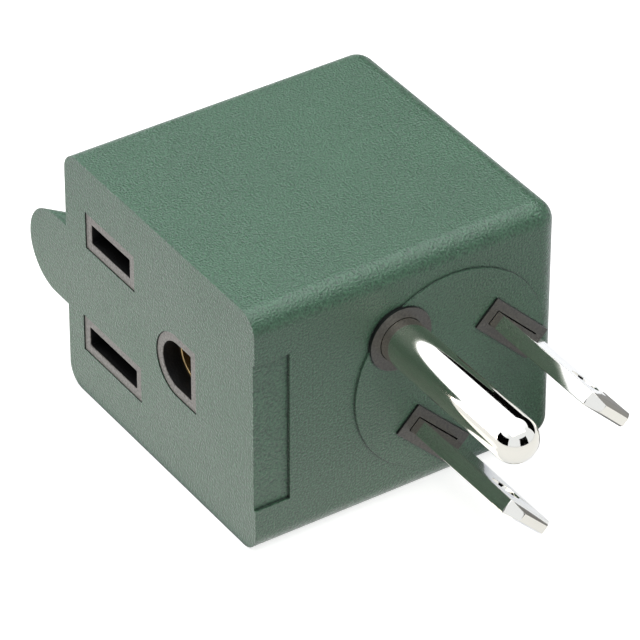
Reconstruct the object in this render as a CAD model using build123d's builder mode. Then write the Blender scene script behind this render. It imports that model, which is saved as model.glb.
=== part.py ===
# Right angle plug adapter: a grounded three pin plug and a matching socket in one moulded block
# Frame: +Z up, the plug's pins point along -Y, the socket opens towards -X
# Origin: halfway between the two plug blades, on the face that seats against the wall outlet

import os
from math import cos, hypot, radians, sin

from build123d import *

os.makedirs("parts", exist_ok=True)

# Standard pin pattern, shared by plug and socket
blade_spacing = 12.7
ground_offset = 11.9
blade_width = 6.35
blade_thickness = 1.52
ground_pin_diameter = 4.7

# Plug pins, with lengths measured from the seating face
plug_angle = 45.0
blade_length = 16.6
blade_tip_length = 1.3
blade_tip_width = 3.75
blade_tip_thickness = 0.88
blade_hole_diameter = 3.6
blade_hole_distance = 11.7
ground_pin_length = 20.8
neck_width = 1.0
neck_depth = 0.2
neck_stand = 0.1

# Moulded body
body_width = 34.8
body_depth = 34.0
body_height = 27.6
edge_radius = 2.2
skin = 1.4
boss_to_end = 1.47
boss_to_base = 2.17

# Raised disc and core bosses on the plug side
disc_diameter = 21.8
disc_shift = 3.55
disc_height = 0.22
boss_height = 0.23
blade_boss_length = 8.5
blade_boss_width = 3.5
ground_boss_diameter = 6.9
pin_clearance = 0.12

# Shallow panel on the plug side, open at the socket's edge
panel_width = 3.9
panel_height = 17.0
panel_depth = 0.3

# Finger tab behind the socket
tab_radius = 4.7
tab_reach = 7.1
tab_run = 6.0

# Socket
slot_to_back = 8.2
slot_width = 2.2
hot_slot_length = 7.0
neutral_slot_length = 8.7
ground_hole_width = 5.2
ground_hole_flat = 2.46
window_margin = 1.0
window_recess = 0.12

# Rigid core inside the moulding
cover_thickness = 2.2
rear_space = 12.4
strap_space = 1.6
sleeve_wall = 0.5
core_wall = 1.4
pocket_clearance = 0.3
shoulder_width = 7.4
shoulder_depth = 3.1
flange_diameter = 6.4

# Brass contacts
sheet = 0.6
bend_radius = 1.2
clip_mouth = 1.7
clip_pinch = 0.7
clip_back = 1.8
clip_pinch_at = 4.5
strap_width = 2.4
sleeve_bore = 4.84
sleeve_setback = 2.1
sleeve_slit_angle = 55.0
ground_strap_width = 4.8
plate_margin = 0.6
clip_side_gap = 0.1
sleeve_clearance = 0.2
tail_width = 4.4
rivet_diameter = 3.0
stake_height = 0.5
stake_spread = 0.35

# The plug's pins are set out on a plane turned about Y: local x runs from blade to blade,
# local y towards the ground pin, and the plane's normal points out of the wall face
turn = radians(plug_angle)
plug_x = Vector(cos(turn), 0, sin(turn))
plug_y = Vector(-sin(turn), 0, cos(turn))
pin_origin = plug_y * ground_offset
boss_reach = blade_spacing + blade_boss_width
boss_reach_x = (boss_reach * abs(plug_x.X) + blade_boss_length * abs(plug_y.X)) / 2
boss_reach_z = (boss_reach * abs(plug_x.Z) + blade_boss_length * abs(plug_y.Z)) / 2

# Places worked out from the sizes above
end_x = boss_reach_x + boss_to_end
face_x = end_x - body_width
front_y = disc_height + boss_height
back_y = front_y + body_depth
base_z = -boss_reach_z - boss_to_base
top_z = base_z + body_height
middle_z = (base_z + top_z) / 2
slot_y = back_y - slot_to_back
ground_y = slot_y - ground_offset
hot_z = middle_z + blade_spacing / 2
neutral_z = middle_z - blade_spacing / 2

core_front_x = face_x + skin
core_end_x = end_x - skin
core_front_y = front_y + skin
core_back_y = back_y - skin
core_base_z = base_z + skin
core_top_z = top_z - skin
housing_x = core_front_x + cover_thickness
housing_end_x = core_end_x - rear_space
window_x = face_x + window_recess
sleeve_x = face_x + sleeve_setback
sleeve_radius = sleeve_bore / 2 + sheet
slit = radians(sleeve_slit_angle)
housing_y = ground_y - sleeve_radius - sleeve_clearance - sleeve_wall
carrier_back_y = housing_y - strap_space
stake_y = carrier_back_y + sheet + stake_height
ground_strap_x = (pin_origin.X - ground_strap_width / 2, pin_origin.X + ground_strap_width / 2)
plate_reach = (tail_width * abs(plug_y.X) + blade_thickness * abs(plug_x.X)) / 2 + plate_margin
CENTRE_LOW = (Align.CENTER, Align.MIN)


def plug_plane(y):
    """Plane of the pin pattern at a given depth; an extrusion by a positive amount goes towards -Y."""
    return Plane(origin=(0, y, 0), x_dir=plug_x, z_dir=(0, -1, 0))


def block(x, y, z, mode=Mode.ADD):
    """A box given by its low and high limits along each axis."""
    with Locations(((x[0] + x[1]) / 2, (y[0] + y[1]) / 2, (z[0] + z[1]) / 2)):
        Box(x[1] - x[0], y[1] - y[0], z[1] - z[0], mode=mode)


def slot_outline(z, length, margin=0.0):
    """A blade slot of the socket, or the window around it, on a plane across X."""
    with Locations((slot_y, z)):
        Rectangle(length + 2 * margin, slot_width + 2 * margin)


def ground_outline(margin=0.0):
    """The socket's D-shaped ground hole: round towards the slots, flat towards the plug."""
    radius = ground_hole_width / 2 + margin
    flat = ground_hole_flat + margin
    with Locations((ground_y, middle_z)):
        Circle(radius)
    with Locations((ground_y - flat / 2, middle_z)):
        Rectangle(flat, 2 * radius)
    with Locations((ground_y - flat - radius, middle_z)):
        Rectangle(2 * radius, 3 * radius, mode=Mode.SUBTRACT)


def boss_outlines():
    """The core's bosses around the two blades and the ground pin."""
    with Locations((blade_spacing / 2, 0), (-blade_spacing / 2, 0)):
        Rectangle(blade_boss_width, blade_boss_length)
    with Locations((0, ground_offset)):
        Circle(ground_boss_diameter / 2)


def tip_outline(width, tip_width):
    """The taper at a blade's tip, on a plane whose local y runs towards the tip."""
    base = blade_length - blade_tip_length
    Polygon(
        (-width / 2, base),
        (width / 2, base),
        (tip_width / 2, blade_length),
        (-tip_width / 2, blade_length),
        align=None,
    )


# Green overmoulded body with the finger tab, the plug disc and the bare panel
with BuildPart() as overmould:
    block((face_x, end_x), (front_y, back_y), (base_z, top_z))
    long_edges = overmould.edges().filter_by(Axis.X)
    end_edges = overmould.faces().sort_by(Axis.X)[-1].edges()
    fillet(long_edges + end_edges, edge_radius)
    with BuildSketch(Plane.YZ.offset(face_x)):
        with Locations((back_y + tab_reach - tab_radius, middle_z)):
            Circle(tab_radius)
        with Locations((back_y + (tab_reach - tab_radius) / 2 - skin / 2, middle_z)):
            Rectangle(tab_reach - tab_radius + skin, 2 * tab_radius)
    extrude(amount=hypot(tab_run, tab_reach) + skin / 2, dir=(tab_run, -tab_reach, 0))
    with BuildSketch(plug_plane(front_y - disc_height)):
        with Locations((0, disc_shift)):
            Circle(disc_diameter / 2)
    extrude(amount=-(disc_height + skin / 2))
    block((core_front_x, core_end_x), (core_front_y, core_back_y), (core_base_z, core_top_z), Mode.SUBTRACT)
    with BuildSketch(Plane.YZ.offset(face_x)):
        slot_outline(hot_z, hot_slot_length, window_margin)
        slot_outline(neutral_z, neutral_slot_length, window_margin)
        ground_outline(window_margin)
    extrude(amount=skin, mode=Mode.SUBTRACT)
    with BuildSketch(plug_plane(core_front_y)):
        boss_outlines()
    extrude(amount=skin + disc_height, mode=Mode.SUBTRACT)
    block(
        (face_x, face_x + panel_width),
        (front_y, front_y + panel_depth),
        (middle_z - panel_height / 2, middle_z + panel_height / 2),
        Mode.SUBTRACT,
    )
overmould.part.label = "overmould"
export_step(overmould.part, "parts/overmould.step")

# Socket cover: front plate of the core, with collars that show in the moulding's windows
with BuildPart() as socket_cover:
    block((core_front_x, housing_x), (core_front_y, core_back_y), (core_base_z, core_top_z))
    with BuildSketch(Plane.YZ.offset(window_x)):
        slot_outline(hot_z, hot_slot_length, window_margin)
        slot_outline(neutral_z, neutral_slot_length, window_margin)
        ground_outline(window_margin)
    extrude(amount=core_front_x - window_x)
    with BuildSketch(Plane.YZ.offset(window_x)):
        slot_outline(hot_z, hot_slot_length)
        slot_outline(neutral_z, neutral_slot_length)
        ground_outline()
    extrude(amount=housing_x - window_x, mode=Mode.SUBTRACT)
    with BuildSketch(Plane.YZ.offset(sleeve_x)):
        with Locations((ground_y, middle_z)):
            Circle(sleeve_radius + sleeve_clearance)
    extrude(amount=housing_x - sleeve_x, mode=Mode.SUBTRACT)
socket_cover.part.label = "socket_cover"
export_step(socket_cover.part, "parts/socket_cover.step")

# Contact housing: holds the two spring clips and the ground sleeve, open at the back
with BuildPart() as contact_housing:
    block((housing_x, housing_end_x), (housing_y, core_back_y), (core_base_z, core_top_z))
    with BuildSketch(Plane.YZ.offset(housing_x)):
        for pocket_z, slot_length in ((hot_z, hot_slot_length), (neutral_z, neutral_slot_length)):
            with Locations((slot_y, pocket_z)):
                Rectangle(slot_length + 2 * pocket_clearance, 2 * (clip_back + sheet + pocket_clearance))
        with Locations((ground_y, middle_z)):
            Circle(sleeve_radius + sleeve_clearance)
    extrude(amount=housing_end_x - housing_x, mode=Mode.SUBTRACT)
    block(
        (ground_strap_x[0] - pocket_clearance, housing_end_x),
        (housing_y, ground_y),
        (middle_z + sleeve_bore / 2 - pocket_clearance, middle_z + sleeve_radius + sleeve_clearance),
        Mode.SUBTRACT,
    )
contact_housing.part.label = "contact_housing"
export_step(contact_housing.part, "parts/contact_housing.step")

# Pin carrier: holds the plug's pins, its bosses come through the moulded disc
with BuildPart() as pin_carrier:
    block((housing_x, core_end_x), (core_front_y, housing_y), (core_base_z, core_top_z))
    block(
        (housing_x + core_wall, core_end_x - core_wall),
        (carrier_back_y, housing_y),
        (core_base_z + core_wall, core_top_z - core_wall),
        Mode.SUBTRACT,
    )
    with BuildSketch(plug_plane(core_front_y)):
        boss_outlines()
    extrude(amount=core_front_y)
    with BuildSketch(plug_plane(carrier_back_y)):
        with Locations((blade_spacing / 2, 0), (-blade_spacing / 2, 0)):
            Rectangle(blade_thickness + 2 * pin_clearance, blade_width + 2 * pin_clearance)
        with Locations((0, ground_offset)):
            Circle(ground_pin_diameter / 2 + pin_clearance)
    extrude(amount=carrier_back_y, mode=Mode.SUBTRACT)
    with BuildSketch(plug_plane(carrier_back_y)):
        with Locations((blade_spacing / 2, 0), (-blade_spacing / 2, 0)):
            Rectangle(blade_thickness + 2 * pin_clearance, shoulder_width + 2 * pin_clearance)
        with Locations((0, ground_offset)):
            Circle(flange_diameter / 2 + pin_clearance)
    extrude(amount=shoulder_depth, mode=Mode.SUBTRACT)
pin_carrier.part.label = "pin_carrier"
export_step(pin_carrier.part, "parts/pin_carrier.step")

# Rear cover: closes the space behind the housing where the brass straps run
with BuildPart() as rear_cover:
    block((housing_end_x, core_end_x), (housing_y, core_back_y), (core_base_z, core_top_z))
    block(
        (housing_end_x, core_end_x - core_wall),
        (housing_y, core_back_y - core_wall),
        (core_base_z + core_wall, core_top_z - core_wall),
        Mode.SUBTRACT,
    )
rear_cover.part.label = "rear_cover"
export_step(rear_cover.part, "parts/rear_cover.step")

# Plug blades: flat stampings with a tapered tip, a round hole, shoulders and a staked tail
for name, side in (("hot_blade", 1), ("neutral_blade", -1)):
    middle = plug_x * (side * blade_spacing / 2)
    with BuildPart() as blade:
        # Outline across the width, with distance towards the tip as local y
        with BuildSketch(Plane(origin=middle, x_dir=plug_y, z_dir=plug_x)):
            with Locations((0, -carrier_back_y)):
                Rectangle(blade_width, carrier_back_y + blade_length - blade_tip_length, align=CENTRE_LOW)
                Rectangle(shoulder_width, shoulder_depth, align=CENTRE_LOW)
            with Locations((0, -stake_y)):
                Rectangle(tail_width, stake_y, align=CENTRE_LOW)
            tip_outline(blade_width, blade_tip_width)
            with Locations((0, blade_hole_distance)):
                Circle(blade_hole_diameter / 2, mode=Mode.SUBTRACT)
        extrude(amount=blade_thickness / 2, both=True)
        # Outline across the thickness
        with BuildSketch(Plane(origin=middle, x_dir=plug_x, z_dir=-plug_y)):
            with Locations((0, -stake_y)):
                Rectangle(blade_thickness, stake_y + blade_length - blade_tip_length, align=CENTRE_LOW)
            tip_outline(blade_thickness, blade_tip_thickness)
        extrude(amount=shoulder_width, both=True, mode=Mode.INTERSECT)
        with BuildSketch(plug_plane(stake_y)):
            with Locations((side * blade_spacing / 2, 0)):
                Rectangle(blade_thickness + 2 * stake_spread, tail_width + 2 * stake_spread)
        extrude(amount=stake_height)
    blade.part.label = name
    export_step(blade.part, f"parts/{name}.step")

# Ground pin: turned, with a round nose, a neck at the seating face, a flange and a riveted tail
with BuildPart() as ground_pin:
    with BuildSketch(Plane(origin=pin_origin, x_dir=plug_x, z_dir=-plug_y)):
        nose_radius = ground_pin_diameter / 2
        with Locations((0, ground_pin_length - nose_radius)):
            Circle(nose_radius)
        with Locations((0, -carrier_back_y)):
            Rectangle(ground_pin_diameter, carrier_back_y + ground_pin_length - nose_radius, align=CENTRE_LOW)
            Rectangle(flange_diameter, shoulder_depth, align=CENTRE_LOW)
        with Locations((0, -stake_y)):
            Rectangle(rivet_diameter, stake_y, align=CENTRE_LOW)
            Rectangle(rivet_diameter + 2 * stake_spread, stake_height, align=CENTRE_LOW)
        with Locations((nose_radius - neck_depth, neck_stand - neck_width)):
            Rectangle(nose_radius, neck_width, align=(Align.MIN, Align.MIN), mode=Mode.SUBTRACT)
        with Locations((-flange_diameter, 0)):
            Rectangle(2 * flange_diameter, 4 * ground_pin_length, mode=Mode.SUBTRACT)
    revolve(axis=Axis(pin_origin, (0, -1, 0)))
ground_pin.part.label = "ground_pin"
export_step(ground_pin.part, "parts/ground_pin.step")

# Hot and neutral contacts: each one brass strip, folded into a spring clip, led along
# the back of the housing and turned against the carrier, where the blade's tail is staked
for name, side, clip_z, slot_length in (
    ("hot_contact", 1, hot_z, hot_slot_length),
    ("neutral_contact", -1, neutral_z, neutral_slot_length),
):
    blade_x = side * plug_x.X * blade_spacing / 2
    blade_z = side * plug_x.Z * blade_spacing / 2
    clip_width = slot_length - 2 * clip_side_gap
    leaf = [
        (housing_x + pocket_clearance, clip_mouth),
        (housing_x + clip_pinch_at, clip_pinch),
        (housing_end_x - clip_back, clip_back),
        (housing_end_x, clip_back),
    ]
    clip_line = [(x, clip_z + z) for x, z in leaf] + [(x, clip_z - z) for x, z in reversed(leaf)]
    strap_start = [(housing_end_x, slot_y)]
    if side > 0:
        strap_line = strap_start + [
            (housing_end_x, carrier_back_y),
            (blade_x + plate_reach, carrier_back_y),
        ]
    else:
        jog_y = slot_y - clip_width / 2 - 2 * bend_radius
        jog_x = max(blade_x + plate_reach + bend_radius, housing_end_x + 2 * bend_radius)
        strap_line = strap_start + [
            (housing_end_x, jog_y),
            (jog_x, jog_y),
            (jog_x, carrier_back_y + sheet),
            (blade_x - plate_reach, carrier_back_y + sheet),
        ]
    with BuildPart() as contact:
        with BuildSketch(Plane.XZ.offset(-(slot_y + clip_width / 2))):
            with BuildLine():
                FilletPolyline(*clip_line, radius=bend_radius - sheet)
                offset(amount=sheet, side=Side.LEFT)
            make_face()
        extrude(amount=clip_width)
        with BuildSketch(Plane.XY.offset(clip_z - strap_width / 2)):
            with BuildLine():
                FilletPolyline(*strap_line, radius=bend_radius)
                offset(amount=sheet, side=Side.LEFT)
            make_face()
        extrude(amount=strap_width)
        block(
            (blade_x - plate_reach, blade_x + plate_reach),
            (carrier_back_y, carrier_back_y + sheet),
            (
                min(blade_z - plate_reach, clip_z - strap_width / 2),
                max(blade_z + plate_reach, clip_z + strap_width / 2),
            ),
        )
        with BuildSketch(plug_plane(carrier_back_y + sheet)):
            with Locations((side * blade_spacing / 2, 0)):
                Rectangle(blade_thickness + 2 * pin_clearance, tail_width + 2 * pin_clearance)
        extrude(amount=sheet, mode=Mode.SUBTRACT)
    contact.part.label = name
    export_step(contact.part, f"parts/{name}.step")

# Ground contact: one brass strip, rolled into a split sleeve and turned up behind the pin's rivet
with BuildPart() as ground_contact:
    with BuildSketch(Plane.YZ.offset(sleeve_x)):
        with Locations((ground_y, middle_z)):
            Circle(sleeve_radius)
            Circle(sleeve_bore / 2, mode=Mode.SUBTRACT)
            Polygon(
                (0, 0),
                (0, 2 * sleeve_radius),
                (-2 * sleeve_radius, 2 * sleeve_radius),
                (-2 * sleeve_radius * sin(slit), 2 * sleeve_radius * cos(slit)),
                align=None,
                mode=Mode.SUBTRACT,
            )
    extrude(amount=ground_strap_x[1] - sleeve_x)
    with BuildSketch(Plane.YZ.offset(ground_strap_x[0])):
        with BuildLine():
            FilletPolyline(
                (ground_y, middle_z + sleeve_bore / 2),
                (carrier_back_y, middle_z + sleeve_bore / 2),
                (carrier_back_y, pin_origin.Z + ground_strap_width / 2),
                radius=bend_radius,
            )
            offset(amount=sheet, side=Side.RIGHT)
        make_face()
    extrude(amount=ground_strap_width)
    with BuildSketch(plug_plane(carrier_back_y + sheet)):
        with Locations((0, ground_offset)):
            Circle(rivet_diameter / 2 + pin_clearance)
    extrude(amount=sheet, mode=Mode.SUBTRACT)
ground_contact.part.label = "ground_contact"
export_step(ground_contact.part, "parts/ground_contact.step")
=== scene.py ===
# %% [markdown]
# # Right angle plug adapter
# A plug and a socket in one moulded block. The rigid core carries the metal, and a skin of soft green
# plastic is moulded over it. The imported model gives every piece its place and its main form. This file
# gives the pieces their finish, draws the turned pin afresh as a smooth surface, and lights them as a
# small studio would.

import bmesh
import bpy
import numpy as np
from mathutils import Matrix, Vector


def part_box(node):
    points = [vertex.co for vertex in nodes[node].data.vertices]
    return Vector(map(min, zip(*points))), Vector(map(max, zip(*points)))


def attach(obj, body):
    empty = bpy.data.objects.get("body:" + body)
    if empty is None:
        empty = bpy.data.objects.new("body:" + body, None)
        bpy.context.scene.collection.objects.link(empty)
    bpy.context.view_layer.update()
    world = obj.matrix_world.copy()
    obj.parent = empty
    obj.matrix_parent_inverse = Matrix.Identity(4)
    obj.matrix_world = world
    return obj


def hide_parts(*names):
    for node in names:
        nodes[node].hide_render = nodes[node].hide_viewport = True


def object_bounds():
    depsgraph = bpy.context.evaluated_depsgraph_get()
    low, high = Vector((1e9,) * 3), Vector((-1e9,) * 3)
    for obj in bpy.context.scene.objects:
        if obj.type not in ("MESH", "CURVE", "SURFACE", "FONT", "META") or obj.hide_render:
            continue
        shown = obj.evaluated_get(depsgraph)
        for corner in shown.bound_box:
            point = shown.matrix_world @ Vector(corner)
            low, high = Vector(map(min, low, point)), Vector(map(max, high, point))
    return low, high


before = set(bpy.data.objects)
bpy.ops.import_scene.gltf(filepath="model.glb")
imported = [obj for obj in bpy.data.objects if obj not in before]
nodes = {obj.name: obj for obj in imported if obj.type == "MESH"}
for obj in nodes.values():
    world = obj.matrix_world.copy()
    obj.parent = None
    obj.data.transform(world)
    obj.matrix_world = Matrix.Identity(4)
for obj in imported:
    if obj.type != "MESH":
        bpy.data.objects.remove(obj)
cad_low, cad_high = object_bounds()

MM = 0.001
print("CAD box in mm", [round(v / MM, 2) for v in (*cad_low, *cad_high)])

# %% [markdown]
# ## Camera
# A product shot of something this small is taken from about half a metre away with a long lens, so its
# edges stay nearly parallel. A camera could be placed by eye. This one's place and turn were worked out
# from the known pattern of the pins, so that every edge falls where it should. Two directions give the
# turn, the ones that run to the right and up in the picture, and the third follows from them.

# %% Camera
FRAME_PIXELS = 640
FOCAL_PIXELS = 5041.6
SENSOR = 36.0
CAMERA_PLACE = np.array([-226.407, -315.782, 289.158]) * MM
PICTURE_RIGHT = np.array([0.835198, -0.549949, 0.001136])
PICTURE_UP = np.array([0.318819, 0.485867, 0.813811])


def in_scene(name, data):
    """A new object in the scene that shows the data, which is a mesh, a lamp or a camera."""
    thing = bpy.data.objects.new(name, data)
    bpy.context.scene.collection.objects.link(thing)
    return thing


def posed(across, up, back, place):
    """The matrix of an object at place whose own X, Y and Z axes run across, up and back."""
    pose = np.eye(4)
    pose[:3] = np.stack([across, up, back, place], axis=1)
    return Matrix(pose.tolist())


lens = bpy.data.cameras.new("long_lens")
lens.sensor_width = SENSOR
lens.lens = FOCAL_PIXELS * SENSOR / FRAME_PIXELS
lens.shift_x, lens.shift_y = 0.0066, -0.0615
lens.clip_start, lens.clip_end = 0.01, 20.0
camera = in_scene("camera", lens)
picture_back = np.cross(PICTURE_RIGHT, PICTURE_UP)
camera.matrix_world = posed(PICTURE_RIGHT, PICTURE_UP, picture_back, CAMERA_PLACE)
bpy.context.scene.camera = camera
print("lens", round(lens.lens, 1), "mm, at", round(float(np.linalg.norm(CAMERA_PLACE)), 2), "m")

# %% [markdown]
# ## Colours and nodes
# Colours are picked as sRGB hex values, the way a painter's chart gives them, but the renderer mixes
# light, so it needs them linear. Nodes could be wired one property at a time. A helper that adds a node,
# sets it up and wires it in one go lets a material be read as a recipe.


# %% Helpers for colours and nodes
def linear(hex_colour):
    """sRGB hex to linear RGBA: a value up to 0.04045 is divided by 12.92, and a higher one is raised to the
    power 2.4 after 0.055 is added and the sum divided by 1.055."""
    value = np.array([int(hex_colour[i : i + 2], 16) for i in (1, 3, 5)]) / 255
    curve = np.where(value <= 0.04045, value / 12.92, ((value + 0.055) / 1.055) ** 2.4)
    return (*curve.tolist(), 1.0)


def add(tree, kind, settings=None, **inputs):
    """Adds a node. Settings are its properties; an input takes a number, a colour or another node's output.
    An input goes by its name, or by its number after an underscore."""
    node = tree.nodes.new(kind)
    for key, value in (settings or {}).items():
        setattr(node, key, value)
    for key, value in inputs.items():
        socket = node.inputs[int(key[1:])] if key[0] == "_" else node.inputs[key.replace("_", " ")]
        if isinstance(value, bpy.types.NodeSocket):
            tree.links.new(value, socket)
        else:
            socket.default_value = value
    return node


def new_material(name):
    """An empty node material with its output: returns the material, its tree and the output node."""
    material = bpy.data.materials.new(name)
    material.use_nodes = True
    material.node_tree.nodes.clear()
    return material, material.node_tree, add(material.node_tree, "ShaderNodeOutputMaterial")


print("a mid grey, #808080, is", round(linear("#808080")[0], 3), "in linear light")

# %% [markdown]
# ## Pebbles and patches
# Both plastics come out of a steel tool, and the tool's finish is what the eye sees. Spark erosion leaves
# small round pits in the steel, so the plastic is covered with fine pebbles. They could be real geometry,
# but that would take millions of faces, so noise stands for them. It bumps the surface and paints light and
# shade on it, a pebble's top lighter than its foot, and a slower noise tints broad patches, because no
# moulding is of one even colour.

# %% Colour with pebbles and patches
PATCH_WIDTH = 12 * MM
PATCH_LOW, PATCH_HIGH = 0.3, 0.7  # nearly all of the patch noise lies between these
PATCH_TINT = 0.04
# The pebbles' noise paints light and shade: a pebble's top lighter, its foot darker.
PEBBLE_LOW, PEBBLE_HIGH = 0.25, 0.75
PEBBLE_SHADE = 0.5


def mottled_and_pebble_shade(tree, colour, pebbles, patches):
    """The colour times two factors. The pebbles' noise paints light and shade: a factor above 1 on a
    pebble's top and below 1 at its foot, by up to the pebbles' spread. The patches' noise gives a tint from
    1 - PATCH_TINT to 1 + PATCH_TINT."""
    tint = add(
        tree, "ShaderNodeMapRange",
        _0=patches, _1=PATCH_LOW, _2=PATCH_HIGH, _3=1 - PATCH_TINT, _4=1 + PATCH_TINT,
    ).outputs[0]
    # Painted light and shade on each pebble, taken from its noise.
    pebble_shade = add(
        tree, "ShaderNodeMapRange",
        _0=pebbles, _1=PEBBLE_LOW, _2=PEBBLE_HIGH, _3=1 - PEBBLE_SHADE, _4=1 + PEBBLE_SHADE,
    ).outputs[0]
    both = add(tree, "ShaderNodeMath", {"operation": "MULTIPLY"}, _0=tint, _1=pebble_shade).outputs[0]
    return add(
        tree, "ShaderNodeMix", {"data_type": "RGBA", "blend_type": "MULTIPLY"},
        _0=1.0, _6=linear(colour), _7=both,
    ).outputs[2]


print("a pebble's tint runs from", 1 - PEBBLE_SHADE, "to", 1 + PEBBLE_SHADE)

# %% [markdown]
# ## Painted shade in corners and slots
# Tight corners gather shade, and the slots and gaps beside the metal are hairlines that no light reaches.
# The renderer could find that by itself, but letting light die in such a gap takes many bounces. So shade is
# painted into the colour instead: ambient occlusion asks how much of the sky is open above a spot, and the
# less is open, the darker the paint. Where even that is too slow, in a gap just behind a front, the plastic
# is painted dark between two depths.

# %% Painted shade in corners and slots
SKY_SAMPLES = 8


def painted_daylight(tree, place, reach, span, band, alone):
    """How much light is painted on each spot, from 0 to 1, where 0 paints it fully shaded. It is the share
    of the sky that is open within reach, stretched so that the low end of span gives 0 and its high end 1.
    Alone counts only the piece's own walls as cover. Band is None, or an axis and the two places on it
    between which the spot is painted fully shaded."""
    sky = add(
        tree, "ShaderNodeAmbientOcclusion", {"samples": SKY_SAMPLES, "only_local": alone}, Distance=reach
    )
    light = add(
        tree, "ShaderNodeMapRange", _0=sky.outputs["AO"], _1=span[0], _2=span[1], _3=0.0, _4=1.0
    ).outputs[0]
    if band:
        axis, near, far = band
        depth = add(tree, "ShaderNodeSeparateXYZ", Vector=place).outputs[axis]
        inside = add(
            tree, "ShaderNodeMath", {"operation": "COMPARE"},
            _0=depth, _1=(near + far) / 2, _2=(far - near) / 2,
        ).outputs[0]
        outside = add(tree, "ShaderNodeMath", {"operation": "SUBTRACT"}, _0=1.0, _1=inside).outputs[0]
        light = add(tree, "ShaderNodeMath", {"operation": "MULTIPLY"}, _0=light, _1=outside).outputs[0]
    return light


print("the sky is asked", SKY_SAMPLES, "times per spot")

# %% [markdown]
# ## Green skin
# The body is flexible PVC, injected over the core. Seen square on, its colour is deep, and seen at a
# slant its pebbles catch the light and it turns grey, as velvet does. The bump gives the pebbles their
# sparkle, and the sheen, which is meant for cloth, gives the grey slant. The patches change the gloss a
# little too.

# %% Moulded plastic
PATCH_GLOSS = 0.04
PVC_IOR = 1.55
SLANT_ROUGHNESS = 0.3  # how far round from the slant the pebbles still catch the light


def moulded_plastic(
    name, colour, painted_shade_colour, grain, bump, roughness, sheen, corner_reach, corner_span,
    band=None, alone=False,
):
    """Moulded PVC, with pebbles of width grain and height bump, in metres. Its colour is painted: the
    pebbled and patched one in full painted light, and the given shade colour, a painted shade, where no
    light is painted. Its roughness is the given one, give or take PATCH_GLOSS."""
    material, tree, output = new_material(name)
    place = add(tree, "ShaderNodeTexCoord").outputs["Object"]
    pebbles = add(
        tree, "ShaderNodeTexNoise", Vector=place, Scale=1 / grain, Detail=1.0, Roughness=0.5
    ).outputs["Fac"]
    patches = add(
        tree, "ShaderNodeTexNoise", Vector=place, Scale=1 / PATCH_WIDTH, Detail=3.0, Roughness=0.6
    ).outputs["Fac"]
    lit = mottled_and_pebble_shade(tree, colour, pebbles, patches)
    # Painted shade: where little light is painted, the colour turns to the shade colour.
    light = painted_daylight(tree, place, corner_reach, corner_span, band, alone)
    shaded = add(
        tree, "ShaderNodeMix", {"data_type": "RGBA"}, _0=light, _6=linear(painted_shade_colour), _7=lit
    ).outputs[2]
    surface = add(tree, "ShaderNodeBump", Height=pebbles, Distance=bump, Strength=1.0)
    dullness = add(
        tree, "ShaderNodeMapRange", _0=patches, _1=PATCH_LOW, _2=PATCH_HIGH,
        _3=roughness - PATCH_GLOSS, _4=roughness + PATCH_GLOSS,
    ).outputs[0]
    shader = add(
        tree, "ShaderNodeBsdfPrincipled", Base_Color=shaded, Roughness=dullness, IOR=PVC_IOR,
        Sheen_Weight=sheen, Sheen_Roughness=SLANT_ROUGHNESS, Normal=surface.outputs["Normal"],
    )
    tree.links.new(shader.outputs[0], output.inputs["Surface"])
    return material


# Flexible PVC from a spark-eroded tool: a deep grey-green, matt when seen square on and frosted at a slant.
# The finest of the real pebbles are too small to show in the picture, so all are drawn 0.22 mm wide.
# Painted shade: where a wall stands within 0.4 mm, as at the rim of the disc and round the bosses, the green
# turns near black.
green_pvc = moulded_plastic(
    "flexible_pvc_spark_eroded", colour="#3F654B", painted_shade_colour="#0A120D", grain=0.22 * MM, bump=0.1 * MM,
    roughness=0.36, sheen=0.55, corner_reach=0.4 * MM, corner_span=(0.5, 0.85),
)
print("green skin:", green_pvc.name, "with", len(green_pvc.node_tree.nodes), "nodes")

# %% [markdown]
# ## Core plastic
# The core is rigid PVC from a plainer tool, grey-brown and only faintly grained. It shows as frames round
# the socket's openings and as bosses round the pins. One material could do for all of it. But the two fronts
# need painted shade in their gaps at different depths, and the socket's front gets a paler colour as a
# painted sheen, so there are three. The one for the housing inside looks far for cover, and only at its own
# walls: that paints shade into its pockets and leaves its outer faces clear.

# %% Core plastic
CORE_GRAIN, CORE_BUMP = 0.25 * MM, 0.03 * MM
boss_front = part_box("pin_carrier")[0][1]
cover_front, cover_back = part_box("socket_cover")[0][0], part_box("socket_cover")[1][0]

# Rigid moulded PVC round the pins: brown-grey, with a weak gloss. Painted shade makes its slot walls black,
# in a band just behind its front, and darkens its tight corners.
boss_pvc = moulded_plastic(
    "rigid_pvc_moulded_boss", colour="#46433B", painted_shade_colour="#030303", grain=CORE_GRAIN, bump=CORE_BUMP,
    roughness=0.38, sheen=0.2, corner_reach=0.1 * MM, corner_span=(0.2, 0.6),
    band=("Y", boss_front + 0.05 * MM, boss_front + 1.2 * MM),
)
# The same PVC on the socket side. Its paler colour is a painted sheen, for the grey gloss it shows at a
# slant, and it is duller. Painted shade makes its slot walls black, in a band just behind its front.
socket_pvc_painted_sheen = moulded_plastic(
    "rigid_pvc_socket_painted_sheen", colour="#827F79", painted_shade_colour="#020202", grain=CORE_GRAIN, bump=CORE_BUMP,
    roughness=0.42, sheen=0.1, corner_reach=0.2 * MM, corner_span=(0.3, 0.7),
    band=("X", cover_front + 0.08 * MM, cover_back - 0.02 * MM),
)
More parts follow.
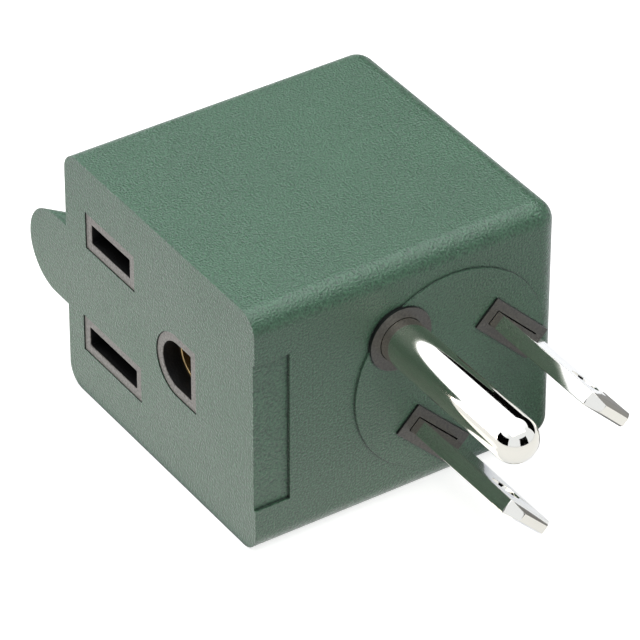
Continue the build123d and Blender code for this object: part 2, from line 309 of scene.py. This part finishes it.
# The same PVC inside: as on the bosses, but painted shade blackens its pockets.
core_pvc = moulded_plastic(
    "rigid_pvc_moulded", colour="#46433B", painted_shade_colour="#060606", grain=CORE_GRAIN, bump=CORE_BUMP,
    roughness=0.38, sheen=0.2, corner_reach=4.0 * MM, corner_span=(0.6, 1.0), alone=True,
)
print("bosses start at y", round(boss_front / MM, 2), "mm")
print("the socket's front is at x", round(cover_front / MM, 2), "mm")

# %% [markdown]
# ## Metals
# Blades and pin are brass with a bright nickel plate, tumbled until they mirror their surroundings.
# Beside chrome, nickel is slightly yellow. The contacts inside are bare spring brass, rolled strip with a
# dull gloss. A mirror could be left perfectly smooth, but then it looks computed: a ripple of a few
# thousandths of a millimetre bends the reflections just enough.

# %% Plated and bare metal
RIPPLE_WIDTH = 2.5 * MM
RIPPLE_LOW, RIPPLE_HIGH = 0.3, 0.7  # nearly all of the ripple noise lies between these
HAZE_SPREAD = 0.3


def polished_metal(name, colour, roughness, ripple):
    """A metal with a faint ripple from rolling or turning; ripple is its height in metres. The roughness
    changes with the ripple, from the given one times 1 - HAZE_SPREAD to that times 1 + HAZE_SPREAD."""
    material, tree, output = new_material(name)
    place = add(tree, "ShaderNodeTexCoord").outputs["Object"]
    waves = add(
        tree, "ShaderNodeTexNoise", Vector=place, Scale=1 / RIPPLE_WIDTH, Detail=2.0, Roughness=0.5
    ).outputs["Fac"]
    haze = add(
        tree, "ShaderNodeMapRange", _0=waves, _1=RIPPLE_LOW, _2=RIPPLE_HIGH,
        _3=roughness * (1 - HAZE_SPREAD), _4=roughness * (1 + HAZE_SPREAD),
    ).outputs[0]
    surface = add(tree, "ShaderNodeBump", Height=waves, Distance=ripple, Strength=1.0)
    shader = add(
        tree, "ShaderNodeBsdfPrincipled", Base_Color=linear(colour), Metallic=1.0, Roughness=haze,
        Normal=surface.outputs["Normal"],
    )
    tree.links.new(shader.outputs[0], output.inputs["Surface"])
    return material


# Tumbled nickel plate: a clear mirror with a breath of warmth.
bright_nickel = polished_metal("bright_nickel_plate_tumbled", "#E4E0D3", roughness=0.07, ripple=0.002 * MM)
# Rolled spring brass: a soft gold gloss that shows only as glints in the dark.
spring_brass = polished_metal("spring_brass_rolled", "#CDB07A", roughness=0.3, ripple=0.01 * MM)
print("metals:", bright_nickel.name, "and", spring_brass.name)

# %% [markdown]
# ## A skin from loose triangles
# A CAD mesh is loose triangles: each has corners of its own, so nothing can be rounded where two of them
# meet. Blender could merge them by distance. Here equal corners are found by sorting their rounded
# places, which is quick, gives the same result each time, and leaves a moment to move corners before the
# mesh is made.

# %% Weld a CAD node's triangles
SAME_PLACE = 0.0005 * MM


def welded(name, node_name, reshape):
    """The mesh of a CAD node with equal corners merged. Corners are rounded to SAME_PLACE, equal ones
    become one, and a triangle that loses a corner by that is left out. Reshape is None, or moves corners."""
    source = nodes[node_name].data
    corners = np.zeros(len(source.vertices) * 3)
    source.vertices.foreach_get("co", corners)
    corners = corners.reshape(-1, 3)
    triangles = np.zeros(len(source.loops), dtype=np.int32)
    source.loops.foreach_get("vertex_index", triangles)
    rounded = np.round(corners / SAME_PLACE).astype(np.int64)
    _, first, index = np.unique(rounded, axis=0, return_index=True, return_inverse=True)
    faces = index.ravel()[triangles].reshape(-1, 3)
    whole = (faces != np.roll(faces, 1, axis=1)).all(axis=1)
    places = reshape(corners[first]) if reshape else corners[first]
    mesh = bpy.data.meshes.new(name)
    mesh.from_pydata(places.tolist(), [], faces[whole].tolist())
    mesh.update()
    return mesh


print("corners within", SAME_PLACE / MM, "mm become one")

# %% [markdown]
# ## Softened edges
# No moulded or tumbled edge is razor sharp: the tool's corners wear, and the plating rounds the metal.
# The edges could be rounded one by one in the solids, but a bevel does it for a whole piece in one step.
# First the flat triangles are joined into whole faces. Only the thin metal pieces stay in triangles,
# because a face with a round hole in it can't be joined without tearing.

# %% Softened copies of CAD pieces
FLAT = 0.005
SHARP = np.radians(30)


def smooth(mesh):
    """Shades a mesh as one rounded surface."""
    mesh.polygons.foreach_set("use_smooth", np.ones(len(mesh.polygons), dtype=bool))


def joined(mesh):
    """Joins the neighbours in a mesh that lie flat with each other, to within an angle of FLAT radians."""
    skin = bmesh.new()
    skin.from_mesh(mesh)
    bmesh.ops.dissolve_limit(skin, angle_limit=FLAT, verts=skin.verts, edges=skin.edges, delimit=set())
    skin.to_mesh(mesh)
    skin.free()


def soften(piece, edge, segments):
    """A bevel of width edge on every edge sharper than SHARP. The flat faces keep their flat shading."""
    bevel = piece.modifiers.new("softened_edges", "BEVEL")
    bevel.width = edge
    bevel.segments = segments
    bevel.limit_method = "ANGLE"
    bevel.angle_limit = SHARP
    bevel.use_clamp_overlap = True
    bevel.miter_outer = "MITER_ARC"
    weighted = piece.modifiers.new("even_shading", "WEIGHTED_NORMAL")
    weighted.mode = "FACE_AREA"
    weighted.weight = 100


def merged_copy(name, node_name, material, edge, segments=2, join=True, reshape=None):
    """A welded copy of a CAD node with softened edges, which takes the node's place in the picture."""
    mesh = welded(name, node_name, reshape)
    if join:
        joined(mesh)
    smooth(mesh)
    mesh.materials.append(material)
    piece = in_scene(name, mesh)
    soften(piece, edge, segments)
    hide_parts(node_name)
    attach(piece, "root")
    print(name, "has", len(mesh.polygons), "faces")


print("edges sharper than", round(float(np.degrees(SHARP))), "degrees are softened")

# %% [markdown]
# ## Green body and socket front
# The body is one shot of soft plastic, and the socket's front is a thin plate of the core that shows in
# its windows. Both could be drawn afresh, but the solids already have their form. The body gets the
# widest bevel of the moulded pieces, because the rims of its disc and its panel are the softest ones on
# the object.

# %% Green body and socket front
merged_copy("green_body", "overmould", green_pvc, 0.1 * MM)
merged_copy("socket_front", "socket_cover", socket_pvc_painted_sheen, 0.06 * MM)

# %% [markdown]
# ## Bosses with a press fit
# On the real object the blades and the pin are pressed into the core, and only a hairline shows round
# them. The solids leave a clearance there, so that they never overlap. Filling it would need a new piece.
# Moving the corners of the slots and of the bore towards the metal gives the same look, and leaves the
# rest of the form alone.

# %% Bosses
PIN_SPACING, BLADE_WIDTH, BLADE_THICKNESS, PIN_DIAMETER = 12.7 * MM, 6.35 * MM, 1.52 * MM, 4.7 * MM
CAD_GAP, HAIRLINE = 0.12 * MM, 0.03 * MM
CLOSE = 0.02 * MM  # a corner this near to a wall or a rim lies on it
DIAGONAL = np.sqrt(0.5)
pin_low, pin_high = (np.array(corner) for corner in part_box("ground_pin"))
pin_axis = (pin_low[[0, 2]] + pin_high[[0, 2]]) / 2


def close_gaps(corners):
    """Moves the walls of the blade slots and of the pin's bore to a hairline from the metal. U runs from
    blade to blade and V along a blade's width, both turned by 45 degrees. A corner is on a slot's wall where
    its distance from the blade's middle is half the blade's size plus the gap, along U and along V. It moves
    straight towards the blade, and a corner of the bore straight towards the pin's axis."""
    u = (corners[:, 0] + corners[:, 2]) * DIAGONAL
    v = (corners[:, 2] - corners[:, 0]) * DIAGONAL
    near_u = np.abs(np.abs(np.abs(u) - PIN_SPACING / 2) - BLADE_THICKNESS / 2 - CAD_GAP) < CLOSE
    near_v = np.abs(np.abs(v) - BLADE_WIDTH / 2 - CAD_GAP) < CLOSE
    wall = near_u & near_v
    inward = CAD_GAP - HAIRLINE
    side_u = np.sign(u) * np.sign(np.abs(u) - PIN_SPACING / 2)
    u = np.where(wall, u - side_u * inward, u)
    v = np.where(wall, v - np.sign(v) * inward, v)
    moved = corners.copy()
    moved[:, 0] = (u - v) * DIAGONAL
    moved[:, 2] = (u + v) * DIAGONAL
    from_pin = moved[:, [0, 2]] - pin_axis
    radius = np.linalg.norm(from_pin, axis=1)
    bore = np.abs(radius - PIN_DIAMETER / 2 - CAD_GAP) < CLOSE
    tight = np.where(bore, (PIN_DIAMETER / 2 + HAIRLINE) / np.maximum(radius, CLOSE), 1.0)
    moved[:, [0, 2]] = pin_axis + from_pin * tight[:, None]
    print("corners moved: slots", int(wall.sum()), "bore", int(bore.sum()))
    return moved


merged_copy("pin_bosses", "pin_carrier", boss_pvc, 0.04 * MM, reshape=close_gaps)

# %% [markdown]
# ## Blades
# Each blade is stamped from strip and has a round hole, which lets a socket's spring snap in. The hole is
# drawn at 3.2 mm, 11.2 mm from the seating face, a little smaller than in the solid. It could be cut
# afresh with a Boolean, but that can leave slivers, which a mirror finish shows. Only the corners on its
# rim move, so the faces round it stay flat.

# %% Blades
CAD_HOLE_DISTANCE, CAD_HOLE_DIAMETER = 11.7 * MM, 3.6 * MM
HOLE_DISTANCE, HOLE_DIAMETER = 11.2 * MM, 3.2 * MM


def small_hole(corners):
    """Moves each corner on the modelled rim to the same angle on a smaller circle nearer to the body."""
    v = (corners[:, 2] - corners[:, 0]) * DIAGONAL
    along = corners[:, 1] + CAD_HOLE_DISTANCE
    rim = np.abs(np.hypot(v, along) - CAD_HOLE_DIAMETER / 2) < CLOSE
    ratio = HOLE_DIAMETER / CAD_HOLE_DIAMETER
    shift_v = np.where(rim, v * (ratio - 1), 0.0)
    moved = corners.copy()
    moved[:, 0] -= shift_v * DIAGONAL
    moved[:, 2] += shift_v * DIAGONAL
    moved[:, 1] = np.where(rim, along * ratio - HOLE_DISTANCE, corners[:, 1])
    print("corners on the hole's rim", int(rim.sum()))
    return moved


for name, node_name in (("upper_blade", "hot_blade"), ("lower_blade", "neutral_blade")):
    merged_copy(name, node_name, bright_nickel, 0.07 * MM, join=False, reshape=small_hole)

# %% [markdown]
# ## Ground strip
# The rolled sleeve of the ground contact is the one piece inside that catches the eye: its rim glints in
# the D-shaped hole. It could stay as it is in the solid, but a square rim gives no glint. A wider bevel
# with one more step gives it a round shoulder for the glint to run along.

# %% Ground strip
merged_copy("ground_strip", "ground_contact", spring_brass, 0.12 * MM, segments=3, join=False)

# %% [markdown]
# ## Ground pin
# The pin is turned from brass rod on a lathe, so its surface is one profile swept round an axis. The
# solid's own mesh could be used, but it has flats, which a mirror finish shows at once. Drawing the
# profile as a fine curve keeps the nose a true half ball. Behind the seating face come the neck, the
# flange that the core grips, and the riveted tail.


# %% A turned surface
def turned_surface(name, profile, centre, steps):
    """A profile of (distance along -Y, radius), in mm, swept round an axis through centre: each point at
    angle a lies at centre + radius * (cos a, 0, sin a), moved by its distance towards -Y. Both ends are on
    the axis, and a fan of triangles closes each."""
    angles = np.arange(steps) * 2 * np.pi / steps
    along, radius = np.array(profile[1:-1]).T
    rings = np.empty((len(along), steps, 3))
    rings[..., 0] = centre[0] + radius[:, None] * np.cos(angles)
    rings[..., 1] = centre[1] - along[:, None]
    rings[..., 2] = centre[2] + radius[:, None] * np.sin(angles)
    ends = [[centre[0], centre[1] - profile[i][0], centre[2]] for i in (0, -1)]
    count = len(along)
    ring, step = np.meshgrid(np.arange(count - 1), np.arange(steps), indexing="ij")
    here, after = ring * steps + step, ring * steps + (step + 1) % steps
    quads = np.stack([here, after, after + steps, here + steps], -1).reshape(-1, 4)
    around = np.arange(steps)
    beside = (around + 1) % steps
    start, end, last = count * steps, count * steps + 1, (count - 1) * steps
    near = np.stack([np.full(steps, start), beside, around], -1)
    far = np.stack([np.full(steps, end), last + around, last + beside], -1)
    mesh = bpy.data.meshes.new(name)
    points = np.concatenate([rings.reshape(-1, 3), np.array(ends)])
    mesh.from_pydata((points * MM).tolist(), [], [*quads.tolist(), *near.tolist(), *far.tolist()])
    smooth(mesh)
    mesh.update()
    print(name, "has", len(mesh.polygons), "faces")
    return mesh


# %% [markdown]
# ## The pin's profile
# Length, flange and tail are read from the solid's box, so the pin fits its bore. The rest are its turned
# steps, in mm along its axis: from the riveted tail over the flange and the neck to the shaft and the
# nose. One point per edge would do for the form, but two close ones let each edge catch a thin line of
# light.

# %% Ground pin
SIDES, SHAFT_RINGS, NOSE_RINGS = 96, 12, 24
ROUND = 0.05  # how much an edge is rounded off
SUPPORT = 0.1  # a ring this far from an edge keeps the face beside it evenly shaded
FLANGE_FILLET = 0.03
RIVET_RADIUS, SHANK_RADIUS, RIVET_END = 1.85, 1.5, 0.5
FLANGE_START, FLANGE_END = 1.1, 4.2
NECK_START, NECK_END, NECK_DEPTH = -0.9, -0.2, 0.2

pin_radius, pin_length, tail = PIN_DIAMETER / 2 / MM, -pin_low[1] / MM, -pin_high[1] / MM
flange_radius = (pin_high[0] - pin_low[0]) / 2 / MM
neck_radius = pin_radius - NECK_DEPTH
nose_start = pin_length - pin_radius
profile = [
    (tail, 0.0), (tail, RIVET_RADIUS - SUPPORT), (tail, RIVET_RADIUS), (tail + SUPPORT, RIVET_RADIUS),
    (tail + RIVET_END, RIVET_RADIUS), (tail + RIVET_END + ROUND, SHANK_RADIUS),
    (tail + FLANGE_START - ROUND, SHANK_RADIUS), (tail + FLANGE_START, SHANK_RADIUS + ROUND),
    (tail + FLANGE_START, flange_radius - ROUND), (tail + FLANGE_START + ROUND, flange_radius),
    (tail + FLANGE_END - ROUND, flange_radius), (tail + FLANGE_END, flange_radius - ROUND),
    (tail + FLANGE_END, pin_radius + FLANGE_FILLET), (tail + FLANGE_END + ROUND, pin_radius),
    (NECK_START - ROUND, pin_radius), (NECK_START, pin_radius - ROUND), (NECK_START + ROUND, neck_radius),
    (NECK_END - ROUND, neck_radius), (NECK_END, pin_radius - ROUND), (NECK_END + ROUND, pin_radius),
    (SUPPORT, pin_radius),
    *[(distance, pin_radius) for distance in np.linspace(1, nose_start - SUPPORT, SHAFT_RINGS)],
    *[
        (nose_start + pin_radius * np.sin(angle), pin_radius * np.cos(angle))
        for angle in np.linspace(0, np.pi / 2, NOSE_RINGS, endpoint=False)
    ],
    (pin_length, 0.0),
]
pin_centre = np.array([pin_axis[0] / MM, 0.0, pin_axis[1] / MM])
round_pin = in_scene("round_pin", turned_surface("round_pin", profile, pin_centre, SIDES))
round_pin.data.materials.append(bright_nickel)
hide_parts("ground_pin")
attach(round_pin, "root")
print("pin's length, tail and flange in mm", [round(float(v), 2) for v in (pin_length, tail, flange_radius)])

# %% [markdown]
# ## Pieces inside
# The housing, the rear cover and the two spring clips could get softened copies too. They keep their CAD
# form, because only slivers of them show through the socket's openings. They still get the finish of
# their real material.

# %% Finish the pieces inside
for node_name, material in (
    ("contact_housing", core_pvc),
    ("rear_cover", core_pvc),
    ("hot_contact", spring_brass),
    ("neutral_contact", spring_brass),
):
    nodes[node_name].data.materials.clear()
    nodes[node_name].data.materials.append(material)
    print(node_name, "is", material.name)

# %% [markdown]
# ## Floor
# The object stands on a sheet of matt white acrylic that runs out of the picture on all sides. Lighting
# it to pure white would flood the object too. So the camera and the mirrors see it glow, its diffuse part
# keeps the object's soft shadow, and its bounce lights the underside.

# %% Floor
FLOOR_HALF = 3.0
FLOOR_GLOW, FLOOR_GLOW_IN_MIRRORS = 0.8, 0.6
WHITE, MIRROR_WHITE = linear("#FFFFFF"), linear("#EEF3FF")  # mirrors see a slightly cool white

# Matt white acrylic: no gloss of its own, so the eye sees only a soft shadow on white.
white_acrylic, floor_tree, floor_output = new_material("white_acrylic_matt")
seen_by = add(floor_tree, "ShaderNodeLightPath")
matt = add(floor_tree, "ShaderNodeBsdfDiffuse", Color=linear("#D0D0D0"))
camera_glow = add(
    floor_tree, "ShaderNodeMath", {"operation": "MULTIPLY"},
    _0=seen_by.outputs["Is Camera Ray"], _1=FLOOR_GLOW,
).outputs[0]
whole_glow = add(
    floor_tree, "ShaderNodeMath", {"operation": "MULTIPLY_ADD"},
    _0=seen_by.outputs["Is Glossy Ray"], _1=FLOOR_GLOW_IN_MIRRORS, _2=camera_glow,
).outputs[0]
glow_colour = add(
    floor_tree, "ShaderNodeMix", {"data_type": "RGBA"},
    _0=seen_by.outputs["Is Glossy Ray"], _6=WHITE, _7=MIRROR_WHITE,
).outputs[2]
glow = add(floor_tree, "ShaderNodeEmission", Color=glow_colour, Strength=whole_glow)
floor_surface = add(floor_tree, "ShaderNodeAddShader", _0=matt.outputs[0], _1=glow.outputs[0])
floor_tree.links.new(floor_surface.outputs[0], floor_output.inputs["Surface"])

table = cad_low[2]
floor_mesh = bpy.data.meshes.new("floor")
floor_corners = np.array([(-1, -1, 0), (1, -1, 0), (1, 1, 0), (-1, 1, 0)]) * FLOOR_HALF + (0, 0, table)
floor_mesh.from_pydata(floor_corners.tolist(), [], [(0, 1, 2, 3)])
floor_mesh.materials.append(white_acrylic)
floor = in_scene("floor", floor_mesh)
print("floor", 2 * FLOOR_HALF, "m wide at z", round(table / MM, 2), "mm")

# %% [markdown]
# ## Room
# A room could be a photographed panorama, but a plain one is easier to steer. This one is white for the
# camera and for the mirrors, and dim for everything else, so that the walls of the block fall darker than
# its top. For the mirrors it is brighter behind the object than in front, as beside a window, which gives
# the pins their blown highlights.

# %% World
ROOM_DIM, ROOM_FOR_CAMERA, ROOM_IN_FRONT, ROOM_BEHIND = 0.135, 1.0, 1.23, 2.0
TURN_OF_LIGHT = 0.3  # how far either side of the middle the brightness changes

world = bpy.data.worlds.new("studio")
bpy.context.scene.world = world
world.use_nodes = True
room_tree = world.node_tree
room_tree.nodes.clear()
room_output = add(room_tree, "ShaderNodeOutputWorld")
room_seen_by = add(room_tree, "ShaderNodeLightPath")
direction = add(room_tree, "ShaderNodeTexCoord").outputs["Generated"]
towards_back = add(room_tree, "ShaderNodeSeparateXYZ", Vector=direction).outputs["Y"]
wall_light = add(
    room_tree, "ShaderNodeMapRange", _0=towards_back, _1=-TURN_OF_LIGHT, _2=TURN_OF_LIGHT,
    _3=ROOM_IN_FRONT - ROOM_DIM, _4=ROOM_BEHIND - ROOM_DIM,
).outputs[0]
for_camera = add(
    room_tree, "ShaderNodeMath", {"operation": "MULTIPLY_ADD"},
    _0=room_seen_by.outputs["Is Camera Ray"], _1=ROOM_FOR_CAMERA - ROOM_DIM, _2=ROOM_DIM,
).outputs[0]
for_all = add(
    room_tree, "ShaderNodeMath", {"operation": "MULTIPLY_ADD"},
    _0=room_seen_by.outputs["Is Glossy Ray"], _1=wall_light, _2=for_camera,
).outputs[0]
room_colour = add(
    room_tree, "ShaderNodeMix", {"data_type": "RGBA"},
    _0=room_seen_by.outputs["Is Glossy Ray"], _6=WHITE, _7=MIRROR_WHITE,
).outputs[2]
room = add(room_tree, "ShaderNodeBackground", Color=room_colour, Strength=for_all)
room_tree.links.new(room.outputs[0], room_output.inputs["Surface"])
print("room:", ROOM_DIM, "for matt surfaces,", ROOM_IN_FRONT, "to", ROOM_BEHIND, "for mirrors")

# %% [markdown]
# ## Softboxes
# One large softbox hangs over the object and does most of the work. A bare bulb would draw a hard shadow,
# and a wide source close by draws a soft one. A small warm softbox stands low beside the socket side and
# lifts it a little.

# %% Softboxes
OVERHEAD = 0.99  # a direction that rises more than this has no level axis of its own
middle = np.array([-7.0, 10.0, 3.0]) * MM


def compass(turn_degrees, height_degrees):
    """The direction that is turned from -X towards -Y and raised above the table: at turn t and height h it
    is (-cos t * cos h, -sin t * cos h, sin h)."""
    t, h = np.radians(turn_degrees), np.radians(height_degrees)
    return np.array([-np.cos(t) * np.cos(h), -np.sin(t) * np.cos(h), np.sin(h)])


def softbox(name, towards, distance, width, height, watts, colour):
    """A rectangular area lamp at a distance from the object in a direction, turned so that its -Z axis looks
    at the object and its X axis is level."""
    level = np.cross([0.0, 0.0, 1.0], towards) if abs(towards[2]) < OVERHEAD else np.array([1.0, 0.0, 0.0])
    across = level / np.linalg.norm(level)
    lamp = bpy.data.lights.new(name, "AREA")
    lamp.shape = "RECTANGLE"
    lamp.size, lamp.size_y = width, height
    lamp.energy = watts
    lamp.color = linear(colour)[:3]
    stand = middle + towards * distance
    in_scene(name, lamp).matrix_world = posed(across, np.cross(towards, across), towards, stand)
    print(name, watts, "W at", distance, "m")


softbox("softbox_above", compass(0, 90), 0.8, width=1.2, height=1.2, watts=8.7, colour="#FFFFFF")
softbox("softbox_left", compass(-55, 3), 0.4, width=0.4, height=0.08, watts=0.6, colour="#FFF2EE")

# %% [markdown]
# ## Black cards
# A mirror finish needs something dark to reflect, or it looks like paper. A photographer bends black card
# round the table, out of the picture, and its reflections draw the dark lines along the pin. Real card
# would also block and bounce light, and every lamp would have to be set again for it. So each card here
# is hidden from all but the mirrors.

# %% Black cards
DRUM = 0.6
CARD_COLUMNS, CARD_ROWS = 16, 8

# Matt black card: it gives back so little light that the eye reads it as a line in the metal.
black_card, card_tree, card_output = new_material("black_card_matt")
card_surface = add(card_tree, "ShaderNodeBsdfDiffuse", Color=linear("#050505"))
card_tree.links.new(card_surface.outputs[0], card_output.inputs["Surface"])


def stand_card(name, points, faces, material):
    """Puts a card into the studio as a mesh that only mirrors see. Points are in metres."""
    mesh = bpy.data.meshes.new(name)
    mesh.from_pydata(points.tolist(), [], faces)
    mesh.materials.append(material)
    piece = in_scene(name, mesh)
    piece.visible_camera = False
    piece.visible_diffuse = False
    piece.visible_shadow = False
    piece.visible_transmission = False
    print(name, "has", len(mesh.polygons), "faces")


def black_wall(name, turns, heights):
    """A black card on a drum round the table. At equal steps of turn t and height h, each point lies at
    middle + DRUM * (-cos t, -sin t, tan h)."""
    t, h = np.meshgrid(
        np.radians(np.linspace(*turns, CARD_COLUMNS + 1)), np.radians(np.linspace(*heights, CARD_ROWS + 1)),
        indexing="ij",
    )
    points = np.stack([-np.cos(t), -np.sin(t), np.tan(h)], -1) * DRUM + middle
    column, row = np.meshgrid(np.arange(CARD_COLUMNS), np.arange(CARD_ROWS), indexing="ij")
    first, beside = column * (CARD_ROWS + 1) + row, (column + 1) * (CARD_ROWS + 1) + row
    quads = np.stack([first, beside, beside + 1, first + 1], -1).reshape(-1, 4)
    stand_card(name, points.reshape(-1, 3), quads.tolist(), black_card)


black_wall("card_left", turns=(-33, 29), heights=(0, 32))
black_wall("card_front", turns=(81, 118), heights=(0, 32))
black_wall("card_back", turns=(165, 250), heights=(0, 34))

# %% [markdown]
# ## Grey and white cards
# Grey card shades a mirror without blacking it out, and white card brightens it. Two grey ones to the
# right give the tapered tips of the blades their shade. Two white ones on the table brighten the
# undersides of the pins and the gloss of the socket side. They could be lit by lamps, but a card with a
# glow of its own has the same brightness from every side, so each can be set alone.


# %% Grey and white cards
def glowing_card(name, corners, colour, strength):
    """A flat card by its four corners in mm, with heights above the table, and an even glow."""
    # A glow of its own stands in for evenly lit paper: a flat tone without grain, which is all that a mirror
    # shows of it.
    material, tree, output = new_material(name + "_glowing_paper")
    paper = add(tree, "ShaderNodeEmission", Color=linear(colour), Strength=strength)
    tree.links.new(paper.outputs[0], output.inputs["Surface"])
    stand_card(name, np.array(corners) * MM + (0, 0, table), [(0, 1, 2, 3)], material)


def lying(x_low, x_high, y_low, y_high, height):
    """The corners of a rectangle that lies at a height above the table."""
    outline = (x_low, y_low), (x_high, y_low), (x_high, y_high), (x_low, y_high)
    return [(x, y, height) for x, y in outline]


flag_top = 2 - table / MM  # the flag reaches 2 mm above the middle of the plug
flag_corners = [(13, -1.5, 0), (36, -1.5, 0), (36, -1.5, flag_top), (20, -1.5, flag_top)]
glowing_card("grey_flag", flag_corners, "#989898", 1.0)
glowing_card("grey_sheet", lying(9, 24, -10, 4, 0.3), "#808080", 1.0)
glowing_card("white_reflector", lying(-27, -1, -9, 1.5, 0.2), "#FFFFFF", 1.6)
glowing_card("side_reflector", lying(-50, -24.8, -4, 60, 0.2), "#FFFFFF", 1.5)

# %% [markdown]
# ## Finish
# The plain Standard view shows colours as they were written. A filmic view could soften the highlights, but
# it would grey the white too.

# %% Finish
scene = bpy.context.scene
scene.view_settings.view_transform = "Standard"
